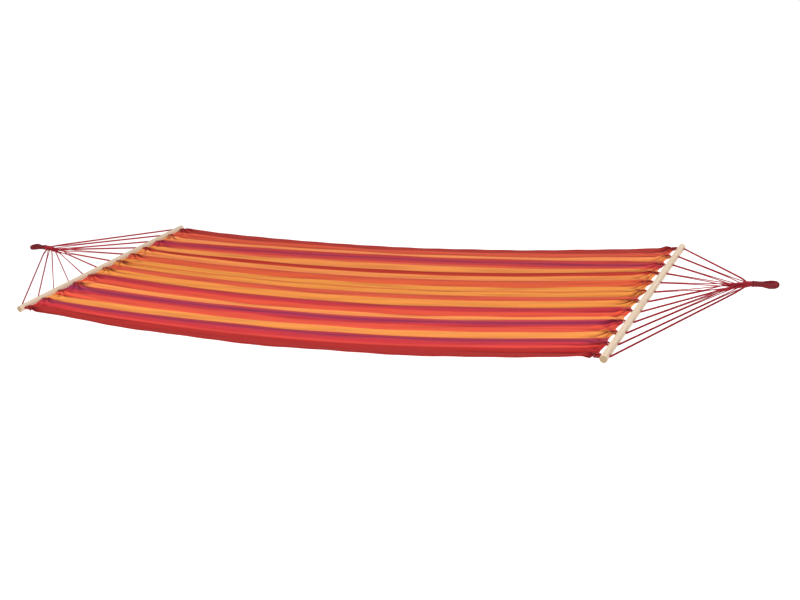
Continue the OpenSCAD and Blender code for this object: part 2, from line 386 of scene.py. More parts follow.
def wood_material():
    """Pale turned wood: long grain along Y, end grain on the two sawn faces."""
    mat = Shader("turned_wood")
    head_shift = 3.7                # metres along Y between the grain of the two bars
    pith_x, pith_z = 0.031, 0.012   # metres from the bar's centre line to the pith
    pith_slope = 0.010              # how far the pith runs off, per metre of length
    ring_wobble = 0.006             # metres
    rings_per_metre = 330.0
    late_share, sawn_share = 0.30, 0.85
    x, y, z = mat.split(mat.new("ShaderNodeTexCoord").outputs["Object"])
    bar_x = mat.minus(mat.size(x), BAR_X / 1000)
    bar_z = mat.minus(z, BAR_Z / 1000)
    side = mat.math("SIGN", x)
    along = mat.plus(y, mat.times(side, head_shift))
    place = (bar_x, along, bar_z)
    # growth rings seen as long arches: distance from a pith outside the bar
    wobble = mat.grain(place, rates=(18.0, 1.4, 18.0), detail=2.0)
    off_x = mat.plus(bar_x, pith_x)
    off_z = mat.plus(bar_z, mat.plus(pith_z, mat.times(along, pith_slope)))
    radius = mat.math("SQRT", mat.plus(mat.times(off_x, off_x), mat.times(off_z, off_z)))
    radius = mat.plus(radius, mat.times(wobble, ring_wobble))
    ring = mat.math("FRACT", mat.times(radius, rings_per_metre))
    late = mat.span(ring, between=(0.55, 0.97))
    fibre = mat.grain(place, rates=(1400.0, 16.0, 1400.0), detail=3.0, rough=0.6)
    pores = mat.grain(place, rates=(2600.0, 90.0, 2600.0), detail=1.0)
    tone = mat.grain(place, rates=(9.0, 3.0, 9.0), detail=2.0)
    colour = mat.mix(tone, srgb(234, 213, 188), srgb(223, 201, 174))
    colour = mat.mix(mat.times(late, late_share), colour, srgb(204, 174, 138))
    colour = mat.mix(mat.span(fibre, between=(0.35, 0.72), to=(0.0, 0.28)),
                     colour, srgb(190, 160, 124))
    colour = mat.mix(mat.span(pores, between=(0.62, 0.80), to=(0.0, 0.45)),
                     colour, srgb(142, 110, 76))
    # the head bar is a little darker
    piece = mat.span(x, between=(-0.1, 0.1), to=(0.90, 1.0), smooth=False)
    warmth = 0.99
    colour = mat.tint(colour, piece, mat.times(piece, warmth), mat.times(piece, warmth))
    # sawn ends: end grain, darker with its rings and short cells, and darker still as
    # painted shade on the end faces
    sawn = mat.span(mat.size(y),
                    between=((BAR_HALF - 1.6) / 1000, (BAR_HALF - 0.3) / 1000))
    cell_rate = 1500.0
    cells = mat.noise(mat.vec(mat.times(bar_x, cell_rate), 0.0,
                              mat.times(bar_z, cell_rate)), detail=2.0)
    end_colour = mat.mix(late, srgb(160, 136, 98), srgb(126, 102, 70))
    end_colour = mat.mix(mat.span(cells, between=(0.45, 0.75), to=(0.0, 0.5)),
                         end_colour, srgb(120, 94, 62))
    colour = mat.mix(mat.times(sawn, sawn_share), colour, end_colour)
    # a little grime where the cords rub at the holes; distance is in hole pitches
    pitches = mat.math("DIVIDE",
                       mat.plus(y, (BAR_HALF - END_HOLE + PITCH * 0.5) / 1000),
                       PITCH / 1000)
    from_hole = mat.size(mat.minus(mat.math("FRACT", pitches), 0.5))
    rub = mat.times(
        mat.span(from_hole, between=(0.045, 0.085), to=(1.0, 0.0)),
        mat.span(mat.size(bar_z), between=(0.0035, 0.0085), to=(0.42, 0.0)))
    colour = mat.mix(rub, colour, srgb(150, 96, 74))
    fibre_height, late_height = 0.6, 0.4
    height = mat.plus(mat.times(fibre, fibre_height), mat.times(late, late_height))
    normal = mat.bump(height, strength=0.45, distance=0.00025)
    rough = mat.span(fibre, between=(0.2, 0.8), to=(0.46, 0.62), smooth=False)
    return mat.finish(Base_Color=colour, Normal=normal, Specular_IOR_Level=0.35,
                      Roughness=rough)


CLOTH = cloth_material()
THREAD = thread_material()
ROPE = rope_material("laid_cord", dark=(116, 12, 28), mid=(178, 22, 40),
                     bright=(204, 44, 56), fibre_rate=260.0)
WHIP = rope_material("whipping_cord", dark=(84, 12, 22), mid=(142, 22, 36),
                     bright=(176, 46, 54), fibre_rate=320.0)
WOOD = wood_material()


# ------------------------------------------------------------ mesh helpers
def make_object(name, verts, faces, mats, face_mat=None, uv=None, uv_name="fabric",
                attrs=None, smooth=True):
    """An object from verts in mm and an (n, 4) array of quads."""
    mesh = bpy.data.meshes.new(name)
    coords = np.asarray(verts, np.float64) * 0.001
    quads = np.asarray(faces, np.int32)
    mesh.vertices.add(len(coords))
    mesh.vertices.foreach_set("co", coords.astype(np.float32).ravel())
    mesh.loops.add(quads.size)
    mesh.loops.foreach_set("vertex_index", quads.ravel())
    mesh.polygons.add(len(quads))
    mesh.polygons.foreach_set("loop_start", np.arange(0, quads.size, 4, dtype=np.int32))
    mesh.polygons.foreach_set("loop_total", np.full(len(quads), 4, np.int32))
    mesh.update(calc_edges=True)
    mesh.polygons.foreach_set("use_smooth", np.full(len(quads), smooth))
    if face_mat is not None:
        mesh.polygons.foreach_set("material_index", np.asarray(face_mat, np.int32))
    if uv is not None:
        layer = mesh.uv_layers.new(name=uv_name)
        layer.data.foreach_set("uv", np.asarray(uv, np.float32)[quads.ravel()].ravel())
    for key, values in (attrs or {}).items():
        layer = mesh.attributes.new(key, "FLOAT", "POINT")
        layer.data.foreach_set("value", np.asarray(values, np.float32))
    for mat in mats:
        mesh.materials.append(mat)
    mesh.validate()
    obj = bpy.data.objects.new(name, mesh)
    bpy.context.scene.collection.objects.link(obj)
    return obj


def at_end(verts, faces, side):
    """A foot-end mesh as it is, or mirrored to the head with its faces outwards."""
    if side > 0:
        return verts, faces
    return verts * np.array([-1.0, 1.0, 1.0]), faces[:, ::-1]


def join(parts):
    """Several (verts, faces, data per vertex...) as one."""
    columns = list(zip(*parts))
    starts = np.cumsum([0] + [len(verts) for verts in columns[0]])
    columns[1] = [faces + start for faces, start in zip(columns[1], starts)]
    return [np.concatenate(column) for column in columns]


def ring_quads(index):
    """Quads between rows of rings, from a (rows, ..., sides) array of indices."""
    after = np.roll(index, -1, -1)
    quads = [index[..., :-1, :], after[..., :-1, :], after[..., 1:, :], index[..., 1:, :]]
    return np.stack(quads, -1).reshape(-1, 4)


def skin(rings, first, last):
    """Rings of points joined up, each end closed by quads round a centre point."""
    rows, sides = rings.shape[:2]
    index = np.arange(rows * sides).reshape(rows, sides)
    caps = []
    for centre, ids in ((rows * sides, index[0]), (rows * sides + 1, index[-1])):
        for j in range(0, sides, 2):
            a, b, c = ids[j], ids[(j + 1) % sides], ids[(j + 2) % sides]
            caps.append((centre, c, b, a) if ids is not index[-1] and ids[0] == 0
                        else (centre, a, b, c))
    return (np.vstack([rings.reshape(-1, 3), first, last]),
            np.vstack([ring_quads(index), caps]))


def rope_skin(rings, path, lengths, around, ply_shade, cap_ply):
    """A skin along a path with its rope UV and ply; ply holds one ring's values."""
    rows, sides = rings.shape[:2]
    verts, faces = skin(rings, path[0], path[-1])
    uv = np.stack([np.repeat(lengths * 0.001, sides), np.tile(around, rows)], 1)
    # both cap centres take the UV of the first point
    uv = np.vstack([uv, uv[0], uv[0]])
    return verts, faces, uv, np.append(np.tile(ply_shade, rows), [cap_ply, cap_ply])


def fillet(points, cuts):
    """A polyline whose corners are rounded; cuts[i] is the cut-back at corner i."""
    corner_points = 7
    out = [points[0]]
    for i in range(1, len(points) - 1):
        corner = points[i]
        back, on = points[i - 1] - corner, points[i + 1] - corner
        back_len, on_len = np.linalg.norm(back), np.linalg.norm(on)
        cut = min(cuts[i], back_len * 0.48, on_len * 0.48)
        if cut < 1e-6:
            out.append(corner)
            continue
        start, end = corner + back / back_len * cut, corner + on / on_len * cut
        for t in np.linspace(0, 1, corner_points):
            out.append((1 - t) ** 2 * start + 2 * t * (1 - t) * corner + t * t * end)
    out.append(points[-1])
    return np.array(out)


def resample(path, step):
    """Even points along a path, and the length along it at each."""
    gaps = np.linalg.norm(np.diff(path, axis=0), axis=1)
    path = path[np.concatenate([[True], gaps > 1e-9])]
    gaps = np.linalg.norm(np.diff(path, axis=0), axis=1)
    lengths = np.concatenate([[0], np.cumsum(gaps)])
    count = max(3, int(round(lengths[-1] / step)) + 1)
    even = np.linspace(0, lengths[-1], count)
    return np.stack([np.interp(even, lengths, path[:, k]) for k in range(3)], 1), even


def frames(path):
    """Two normals carried along a path without twisting, the first starting upright."""
    tangent = np.gradient(path, axis=0)
    tangent /= np.linalg.norm(tangent, axis=1)[:, None]
    normal = np.zeros_like(tangent)
    carried = np.array((0.0, 0.0, 1.0))
    for i, direction in enumerate(tangent):
        carried = carried - direction * (carried @ direction)
        carried = carried / np.linalg.norm(carried)
        normal[i] = carried
    return normal, np.cross(tangent, normal)


def tube(path, radius, sides, step, lobes, depth, lay, phase=0.0):
    """A laid cord along a path: lobes are its strands, which turn once in each lay."""
    points, lengths = resample(path, step)
    normal, binormal = frames(points)
    crest = 0.5 + 0.5 * np.cos(lobes * np.arange(sides) * 2 * math.pi / sides)
    ring_radius = (radius * (1 - depth * (1 - crest ** 0.7)))[None, :, None]
    turn = phase + 2 * math.pi * lengths / lay
    angle = ((np.arange(sides) * 2 * math.pi / sides)[None, :] + turn[:, None])[..., None]
    rings = points[:, None, :] + ring_radius * (np.cos(angle) * normal[:, None, :]
                                                + np.sin(angle) * binormal[:, None, :])
    # the crest of each strand sets its painted groove shade
    return rope_skin(rings, points, lengths, np.arange(sides) / sides, crest, 0.5)


def rope_object(name, parts, side, mat):
    verts, faces, uv, ply_shade = parts
    verts, faces = at_end(verts, faces, side)
    return make_object(name, verts, faces, [mat], uv=uv, uv_name="rope",
                       attrs={"ply_shade": ply_shade})


# ------------------------------------------------------------ cloth tables
# Tables keyed 1 and -1 are for the foot end and the head end.
SCALLOP = {1: 14.5, -1: 2.5}        # depth of the scallops between gathers
EDGE_REACH = {1: 9.6, -1: 12.0}     # how far the cloth stands past its rolls
END_SLACK = {1: 4.6, -1: 1.2}       # extra hang between gathers at the edge

rng = np.random.default_rng(20)
LONG_FOLDS = 5                      # for each gather


def draw_folds():
    """Random folds at one end: those that radiate from each gather, then long ones."""
    many = (LONG_FOLDS, CORDS)
    return {
        "count": rng.uniform(8.5, 12.5, CORDS), "phase": rng.uniform(0, 6.28, CORDS),
        "wander": rng.uniform(0, 6.28, CORDS), "height": rng.uniform(3.4, 6.0, CORDS),
        "reach": rng.uniform(36, 58, CORDS),
        "long_place": rng.uniform(-0.32, 0.32, many),   # in pitches
        "long_width": rng.uniform(0.05, 0.14, many),    # in pitches
        "long_reach": rng.uniform(50, 260, many),
        "long_height": rng.uniform(-4.6, 4.6, many),
    }


FOLDS = {side: draw_folds() for side in (1, -1)}
# waves of the whole sheet: height, rates along and across, phase, sign of slant
WAVES = [(rng.uniform(0.3, 1.0) * 0.42, rng.uniform(0.0008, 0.0035) * 2 * math.pi,
          rng.uniform(0.006, 0.022) * 2 * math.pi, rng.uniform(0, 6.28),
          rng.uniform(-1, 1)) for _ in range(14)]

# end, place across the cloth, half width, length and height of the creases
CREASES = [
    (1, -214, 8, 420, 4.6), (1, -103, 9, 330, 3.4), (1, -424, 9, 210, 4.6),
    (1, -466, 8, 300, -3.8), (1, -20, 9, 240, -2.6), (1, 150, 9, 260, 2.6),
    (1, 262, 10, 200, -3.0), (1, 405, 9, 260, 3.0), (-1, -455, 9, 330, -4.6),
    (-1, -330, 10, 200, 3.0), (-1, -215, 9, 260, -3.0), (-1, 20, 9, 280, 3.0),
    (-1, 175, 10, 220, -2.8), (-1, 330, 11, 260, 3.2), (-1, 440, 9, 200, -3.0),
]
# billows at mid length: place across, width, height, power of the fall to the ends
BILLOWS = [(345, 62.0, 8.0, 1.3), (240, 40.0, -2.5, 1.0), (-395, 50.0, 3.0, 1.0)]

# sideways wander of the stripes at each end: places across, shift at each
SHIFT = {
    -1: ([-507, -440, -377, -300, -200, -100, 0, 70, 150, 230, 290, 343, 400, 460, 507],
         [0, -20, -42, -35, -20, 0, -2, -5, -10, -17, -36, -58, -50, -24, 0]),
    1: ([-507, -430, -347, -200, -100, 0, 120, 165, 208, 252, 298, 343, 400, 460, 507],
        [0, 9, 14, 9, 3, 0, 0, 20, -24, 24, -36, -44, -36, -16, 0]),
}


def bell_kernel(half, width):
    kernel = np.exp(-0.5 * (np.arange(-half, half + 1) / width) ** 2)
    return kernel / kernel.sum()


SHIFT_AT = np.linspace(-507, 507, 1015)
SHIFT_SMOOTH = {
    side: np.convolve(np.pad(np.interp(SHIFT_AT, places, shifts), 60),
                      bell_kernel(60, 20.0), "valid")
    for side, (places, shifts) in SHIFT.items()}


# ----------------------------------------------------------- cloth surface
# x is mm along the bed, signed; p is mm across the cloth, measured at mid length.
def half_width(along):
    return HALF_END + (HALF_MID - HALF_END) * (1 - (along / ROLL_X) ** 2)


def gather_place(p):
    """Place in gathers across, the nearest gather, mm from it, the fraction of a
    pitch, and whether the place lies between two gathers."""
    t = (p * HALF_END / HALF_MID - gather_y(0)) / PITCH
    near = np.clip(np.round(t), 0, CORDS - 1).astype(int)
    dy = (t - near) * PITCH
    part = np.clip(t, 0, CORDS - 1)
    part = part - np.floor(part)
    return t, near, dy, part, (t > 0) & (t < CORDS - 1)


def by_side(side, table):
    return np.where(side > 0, table[1], table[-1])


def radiating_folds(along, reached, side, y, near, dy):
    """Height of the folds that radiate from the two closest gathers, and how deep
    in a valley of them each place lies, which sets painted shade in those valleys."""
    height, valley = np.zeros_like(y), np.zeros_like(y)
    beside = np.clip(near + np.sign(dy).astype(int), 0, CORDS - 1)
    for end, folds in FOLDS.items():
        here = side == end
        if not here.any():
            continue
        for i, live in ((near, here), (beside, here & (beside != near))):
            off_y = y - (gather_y(0) + i * PITCH) * half_width(along) / HALF_END
            off_x = np.maximum(ROLL_X - 4.0 - reached, 0.0)
            r = np.hypot(off_y, off_x)
            angle = np.arctan2(off_y, off_x + 5.0)
            wave = np.cos(folds["count"][i] * angle + folds["phase"][i]
                          + 0.5 * np.sin(3 * angle + folds["wander"][i]))
            # sharp crests, wide valleys
            wave = np.sign(wave) * np.abs(wave) ** 0.8
            size = (folds["height"][i] * ease(r, 0.0, 13.0)
                    * np.exp(-r / folds["reach"][i]) * np.cos(angle) ** 0.5)
            height += np.where(live, size, 0) * wave
            valley = np.maximum(valley, np.where(
                live, np.exp(-r / 24.0) * np.clip(0.15 - wave, 0, 1), 0))
    return height, valley


def long_folds(side, t, inset):
    """Long folds, each running in from a gather and dying away."""
    height = np.zeros_like(t)
    for end, folds in FOLDS.items():
        here = side == end
        if not here.any():
            continue
        for n in range(LONG_FOLDS):
            for i in range(CORDS):
                width = folds["long_width"][n, i] * (1 + inset / 300.0)
                height += np.where(
                    here, folds["long_height"][n, i]
                    * bell(t - i - folds["long_place"][n, i], width)
                    * np.exp(-inset / folds["long_reach"][n, i])
                    * (1 - np.exp(-inset / 14.0)), 0)
    return height


def creases(side, p, inset):
    """Creases set in the cloth: a ridge with a valley beside it."""
    height = np.zeros_like(p)
    for end, place, width, length, rise in CREASES:
        pair = bell(p - place, width) - bell(p - place - 1.7 * width, width)
        height += np.where(side == end, rise * pair * bell(inset, length)
                           * (1 - np.exp(-inset / 16.0)), 0)
    return height


def cloth_thickness(along, p, inset, gap, side_hem):
    """Single cloth, double at the hems, a roll at each gather."""
    end_hem = ease(inset, 12.5, 10.7) * (0.75 + 0.25 * np.cos(p * 0.9))
    thick = 1.5 + 1.7 * side_hem + 1.2 * end_hem * (1 - side_hem)
    rounding = np.clip((np.abs(p) - (HALF_MID - 2.0)) / 2.0, 0, 1)
    thick = thick * np.sqrt(np.clip(1 - rounding ** 2 * 0.94, 0, 1))
    pinch = ease(inset, 20.0, 12.0) * ease(gap, 9.0, 5.0)
    thick = thick + (np.minimum(thick, 1.3) - thick) * pinch
    roll = 2 * np.sqrt(np.clip((ROLL_R - 0.25) ** 2 - (along - ROLL_X) ** 2, 0, None))
    return np.maximum(thick * (1 - 0.55 * ease(inset, 2.0, 0.0)),
                      roll * ease(gap, 10.0, 7.0))


def cloth_surface(x, p):
    """Mid-surface of the cloth: its points, thickness, and pucker and hem values."""
    along = np.abs(x)
    side = np.where(x >= 0, 1, -1)
    inset = END_X - along           # distance inboard of the hem tip
    from_roll = ROLL_X - along
    y = p * half_width(along) / HALF_MID
    t, near, dy, part, inside = gather_place(p)
    gap = np.abs(dy)
    # scalloped edge, eased in over the last 70 mm, and two short tails that stand
    # past the roll on each side of a cord
    slope = 0.5 - 8.0 / PITCH
    arch = np.where(inside, 1 - np.clip(np.abs(part - 0.5) / slope, 0, 1) ** 2, 0.0)
    edge = ease(inset, 70.0, 0.0) ** 1.3
    tip = ease(along, ROLL_X, END_X)
    tail = ease(gap, 2.4, 4.8)
    by_cord = ease(gap, 15.0, 10.0)
    reached = (along - by_side(side, SCALLOP) * arch * edge
               + by_side(side, EDGE_REACH) * tail * (by_cord * tip + (1 - by_cord) * edge))
    z = BAR_Z - SAG * (1 - (along / ROLL_X) ** 2)
    # the cloth hangs slack between gathers
    slack = 1.6 + by_side(side, END_SLACK) * np.exp(-inset / 80.0)
    z = z - np.where(inside, slack * np.sin(math.pi * part) ** 2, 0)
    folds, valley = radiating_folds(along, reached, side, y, near, dy)
    z = z + folds + long_folds(side, t, inset) + creases(side, p, inset)
    # slow unevenness of the whole sheet, fading out at its ends
    fade = 1 - np.exp(-inset / 70.0)
    for height, rate_x, rate_p, phase, slant in WAVES:
        sign = 1 if slant > 0 else -1
        z = z + height * fade * np.cos(rate_x * x * sign + rate_p * p + phase)
    middle = np.clip(1 - (along / ROLL_X) ** 2, 0, 1)
    for place, width, height, power in BILLOWS:
        z = z + height * middle ** power * bell(p - place, width)
    side_hem = ease(np.abs(p), HALF_MID - 15.0, HALF_MID - 13.4)
    thick = cloth_thickness(along, p, inset, gap, side_hem)
    # side hems wave a little
    z = z + side_hem * 0.5 * np.sin(x * 0.045 + np.sign(p) * 1.3) * fade
    # the cloth past the roll flutes a little
    z = z + by_cord * tip * tail * 1.5 * np.cos(gap * 0.75 + near)
    # a gather stands up as a ridge of pleats just inboard of its cord
    pleat = np.cos(dy * 2 * math.pi / 7.2 + near)
    z = z + 4.2 * bell(from_roll - 24.0, 15.0) * bell(dy, 9.0)
    z = z + 1.1 * pleat * bell(dy, 15.0) * ease(from_roll, 52.0, 28.0) \
        * ease(from_roll, 6.0, 14.0)
    # a roll sits square in the loop of its cord
    lock = ease(from_roll, 12.0, 5.0) * ease(gap, 12.5, 7.5) * (1 - tip * tail)
    z = z + (BAR_Z - z) * lock
    # painted shade where the cloth is drawn in tight at each gather and deep in the
    # valleys of its radiating folds
    slit = 3.6 + 5.9 * ease(inset, 62.0, 14.0)
    pull = bell(dy, slit) * ease(inset, 84.0, 28.0)
    pucker_shade = np.clip(pull * (0.72 + 0.4 * (0.5 - 0.5 * pleat)) + 0.95 * valley, 0, 1)
    hem = np.clip(side_hem * (np.abs(p) > HALF_MID - 3.5) + (along > END_X - 3.0), 0, 1)
    return np.stack([reached * side, y, z], -1), thick, pucker_shade, hem


def fabric_across(x, p):
    """Where a point of the surface lies across the woven stripes."""
    out = np.empty_like(p)
    for r in range(x.shape[0]):
        side = 1 if x[r, 0] >= 0 else -1
        grow = (abs(x[r, 0]) / ROLL_X) ** 1.9
        out[r] = np.interp(p[r], SHIFT_AT + grow * SHIFT_SMOOTH[side], SHIFT_AT)
    part, inside = gather_place(p)[3:]
    pull = (PITCH / (2 * math.pi)) * (1.1 * np.sin(2 * math.pi * part)
                                      + 0.35 * np.sin(4 * math.pi * part))
    return out + np.where(inside, pull, 0) * np.exp(-(END_X - np.abs(x)) / 30.0)


# ------------------------------------------------------------ cloth pieces
PITCH_LINES = 33                    # mesh lines across to a pitch: one on each gather
SLOT_HALF = 2.0                     # half width of the gap in the hem for a cord loop
SLOT_IN, SLOT_OUT = 10.6, 5.9       # its ends, inboard of the hem tip
MARGIN_LINES = (2.4, 4.8, 7.2, 9.4, 10.9, 11.6, 12.0)   # outside the end gathers
TIP_LINES = (SLOT_IN, 9.1, 7.5, SLOT_OUT, 5.0, 4.0, 3.0, 2.0, 1.0, 0.3, 0.0)
INNER_STEP = 7.5                    # between mesh lines along the inner pieces
FINE_FROM, FINE_TO = 985.0, 1062.6  # where the lines along an end piece close up
STITCH_STEP, STITCH_LENGTH = 4.3, 3.3
SIDE_SEAM, END_SEAM = 11.8, 14.0    # seams, in from the cloth's edges
# along a stitch: share of its length, radius, lift off the cloth
STITCH_STATIONS = np.array([
    (0.0, 0.12, -0.28), (0.18, 0.36, 0.10), (0.5, 0.42, 0.20), (0.82, 0.36, 0.10),
    (1.0, 0.12, -0.28)])
STITCH_SIDES = 5


def p_lines():
    """Mesh lines across the cloth."""
    lines = [gather_y(0) + PITCH * k / PITCH_LINES
             for k in range(PITCH_LINES * (CORDS - 1) + 1)]
    lines += [gather_y(i) + k for i in range(CORDS) for k in (-SLOT_HALF, SLOT_HALF)]
    for k in MARGIN_LINES:
        lines += [gather_y(0) - k, gather_y(CORDS - 1) + k]
    return np.array(sorted(lines)) * HALF_MID / HALF_END


def x_lines(start, end):
    """Mesh lines in mm along the cloth, from distances in metres."""
    if end < 1.0:
        count = int(round((end - start) * 1000 / INNER_STEP)) + 1
        return np.linspace(start * 1000, end * 1000, count)
    return np.concatenate([np.linspace(start * 1000, FINE_FROM, 24),
                           np.linspace(FINE_FROM, FINE_TO, 31)[1:],
                           END_X - np.array(TIP_LINES)])


def stitch_row(start, end, face):
    """Arched capsules of thread from start to end points (x, p) on one face."""
    share, radius, lift = STITCH_STATIONS.T
    place = start[:, None, :] + (end - start)[:, None, :] * share[None, :, None]
    points, thick, _, _ = cloth_surface(place[..., 0], place[..., 1])
    points[..., 2] += face * (thick / 2 + lift[None, :])
    tangent = points[:, -1] - points[:, 0]
    tangent /= np.linalg.norm(tangent, axis=1)[:, None]
    sideways = np.cross(tangent, np.array([0, 0, 1.0]))
    sideways /= np.linalg.norm(sideways, axis=1)[:, None]
    upward = np.cross(sideways, tangent)
    ring = (np.arange(STITCH_SIDES) * 2 * math.pi / STITCH_SIDES)[None, None, :, None]
    offset = (np.cos(ring) * sideways[:, None, None, :]
              + np.sin(ring) * upward[:, None, None, :])
    verts = points[:, :, None, :] + offset * radius[None, :, None, None]
    index = np.arange(verts[..., 0].size).reshape(verts.shape[:3])
    # each end is closed by one quad
    faces = np.vstack([ring_quads(index), index[:, 0, [0, 3, 2, 1]],
                       index[:, -1, [0, 1, 2, 3]]])
    verts = verts.reshape(-1, 3)
    return verts, faces, verts[:, :2] * 0.001


def stitches(x0, x1, end):
    """Thread along the side hems, and along the end hem if end is 1 or -1."""
    half = STITCH_LENGTH / 2
    xs = np.arange(math.ceil(x0 / STITCH_STEP),
                   math.floor(x1 / STITCH_STEP) + 1) * STITCH_STEP
    xs = xs[np.abs(xs) < END_X - 9]
    rows = []
    for sign in (-1, 1):
        seam = np.full_like(xs, sign * (HALF_MID - SIDE_SEAM))
        rows.append((np.stack([xs - half, seam], -1), np.stack([xs + half, seam], -1)))
    if end:
        ps = np.arange(-115, 116) * STITCH_STEP
        ps = ps[np.abs(ps) < HALF_MID - 15]
        seam = np.full_like(ps, (END_X - END_SEAM) * end)
        rows.append((np.stack([seam, ps - half], -1), np.stack([seam, ps + half], -1)))
    return join([stitch_row(a, b, face) for a, b in rows for face in (1, -1)])


def fold_depth(x, z):
    """Height of each place over its surroundings across the cloth, -1 to 1, which sets the
    painted shade and highlight of the folds.
    """
    kernel = bell_kernel(14, 4.6)
    fold_shade = np.stack([row - np.convolve(np.pad(row, 14, mode="edge"), kernel, "valid")
                     for row in z])
    return np.clip(fold_shade / 2.2, -1, 1) * (np.abs(x) < ROLL_X - 5.0)


def cloth_faces(xs, ps):
    """Both faces of the cloth and the walls between them. The walls are left out
    where the cloth carries on into the next piece."""
    # cells that are cut away for the cord loops
    mid_x = np.abs((xs[:-1] + xs[1:]) / 2)
    mid_y = (ps[:-1] + ps[1:]) / 2 * HALF_END / HALF_MID
    gathers = np.array([gather_y(i) for i in range(CORDS)])
    gap = np.abs(mid_y[None, :] - gathers[:, None]).min(0)
    keep = ~(((mid_x > END_X - SLOT_IN) & (mid_x < END_X - SLOT_OUT))[:, None]
             & (gap < SLOT_HALF)[None, :])
    count = len(xs) * len(ps)
    index = np.arange(count).reshape(len(xs), len(ps))
    a, b, c, d = index[:-1, :-1], index[1:, :-1], index[1:, 1:], index[:-1, 1:]
    faces = [np.stack([a, b, c, d], -1)[keep], np.stack([d, c, b, a], -1)[keep] + count]
    padded = np.pad(keep, 1)
    rows, cols = padded.shape
    for dx, dp, start, end in ((-1, 0, a, d), (1, 0, c, b), (0, -1, b, a), (0, 1, d, c)):
        beside = padded[1 + dx:rows - 1 + dx, 1 + dp:cols - 1 + dp]
        edge = keep & ~beside
        if dx == -1 and abs(xs[0]) < END_X - 1:
            edge[0] = False
        if dx == 1 and abs(xs[-1]) < END_X - 1:
            edge[-1] = False
        faces.append(np.stack([start, end, end + count, start + count], -1)[edge])
    return np.vstack(faces)


def cloth_piece(name, start, end):
    """One length of the cloth with its stitches, from start to end in metres."""
    side = 1 if start >= 0 else -1
    xs = x_lines(min(abs(start), abs(end)), max(abs(start), abs(end)))
    if side < 0:
        xs = -xs[::-1]
    ps = p_lines()
    x, p = np.meshgrid(xs, ps, indexing="ij")
    points, thick, pucker_shade, hem = cloth_surface(x, p)
    # heights across the cloth for the painted shade in folds and the painted highlight on
    # crests
    fold_shade = fold_depth(x, points[..., 2]).ravel()
    lift = np.stack([0 * thick, 0 * thick, thick / 2], -1)
    verts = np.vstack([(points + lift).reshape(-1, 3), (points - lift).reshape(-1, 3)])
    uv = np.stack([np.tile(x.ravel(), 2), np.tile(fabric_across(x, p).ravel(), 2)],
                  -1) * 0.001
    faces = cloth_faces(xs, ps)
    at_tip = max(abs(xs[0]), abs(xs[-1])) > END_X - 1
    sewn = stitches(xs[0], xs[-1], side if at_tip else 0)
    plain = np.zeros(len(sewn[0]))
    face_mat = np.repeat([0, 1], [len(faces), len(sewn[1])])
    verts, faces, uv, pucker_shade, hem, fold_shade = join([
        (verts, faces, uv, np.tile(pucker_shade.ravel(), 2), np.tile(hem.ravel(), 2),
         np.concatenate([fold_shade, -fold_shade])),
        (*sewn, plain, plain, plain)])
    # points inside the slots belong to no face
    used = np.zeros(len(verts), bool)
    used[faces.ravel()] = True
    renumbered = np.cumsum(used) - 1
    obj = make_object(name, verts[used], renumbered[faces], [CLOTH, THREAD], face_mat,
                      uv[used], "fabric", {"pucker_shade": pucker_shade[used], "hem": hem[used],
                                           "fold_shade": fold_shade[used]})
    return obj


# In metres: where the pieces meet on each side.
CUT_IN, CUT_OUT = 0.4292, 0.8584
PIECE_EDGES = [-END_X / 1000, -CUT_OUT, -CUT_IN, 0.0, CUT_IN, CUT_OUT, END_X / 1000]
PIECE_NAMES = ["head_end", "head_outer", "head_inner", "foot_inner", "foot_outer",
               "foot_end"]
BED_PARTS = ["bed_head_end", "bed_head_inner", "bed_middle", "bed_foot_inner",
             "bed_foot_end"]

# The end pieces ride on one part of the bed; each other piece spans two and is left
# unattached.
for i, name in enumerate(PIECE_NAMES):
    start, end = PIECE_EDGES[i:i + 2]
    obj = cloth_piece(f"cloth_{name}", start, end)
    parts = range(max(i - 1, 0), min(i + 1, len(BED_PARTS)))
    if len(parts) == 1:
        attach(obj, BED_PARTS[parts[0]])
    else:
        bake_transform(obj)
    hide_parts(*[f"bed_panel_{n + 1}" for n in parts])


# ------------------------------------------------------------------- cords
# Share of the fan at which each doubled cord opens into two strands, near side first.
OPENS = {1: [0.52, 0.86, 0.66, 0.86, 0.86, 0.80, 0.36, 0.34, 0.34, 0.55, 0.80, 0.80],
         -1: [0.86, 0.84, 0.70, 0.86, 0.84, 0.72, 0.84, 0.60, 0.84, 0.78, 0.84, 0.84]}
OPEN_END = 0.97                     # share of the fan where strands are fully apart
HOLE_EXIT = 14.2                    # bar centre to where a cord leaves its hole
PAIR_Z = 1.8                        # half the spacing of the two runs in a hole
BIGHT_R = 4.85                      # loop of cord round the rolled hem
JOIN_X, JOIN_SPREAD = 1334.0, 78.0  # where the middle cords join; outer ones join later
STRAND_END_X = 1441.0
# between bar and join: share of the way, share of the sag
STRAND_STATIONS = ((0.07, 0.0), (0.30, 0.75), (0.55, 1.0), (0.78, 0.64), (0.90, 0.3))


def fan_z(x):
    """Height of the cord fan's middle, from the bar up to the neck."""
    return BAR_Z + (EYE_Z - BAR_Z) * min(1.0, (x - BAR_X) / (APEX_X - BAR_X))


def bundle_slots():
    """Where the two strands of each cord lie in the bundle (y, z): five layers,
    ordered across so that outer cords stay outside."""
    layers = [(-5.6, 4), (-2.8, 5), (0.0, 6), (2.8, 5), (5.6, 4)]   # height, strands
    slots = sorted(((k - (n - 1) / 2) * 3.35, z) for z, n in layers for k in range(n))
    return [(slots[2 * i], slots[2 * i + 1]) for i in range(CORDS)]


SLOTS = bundle_slots()


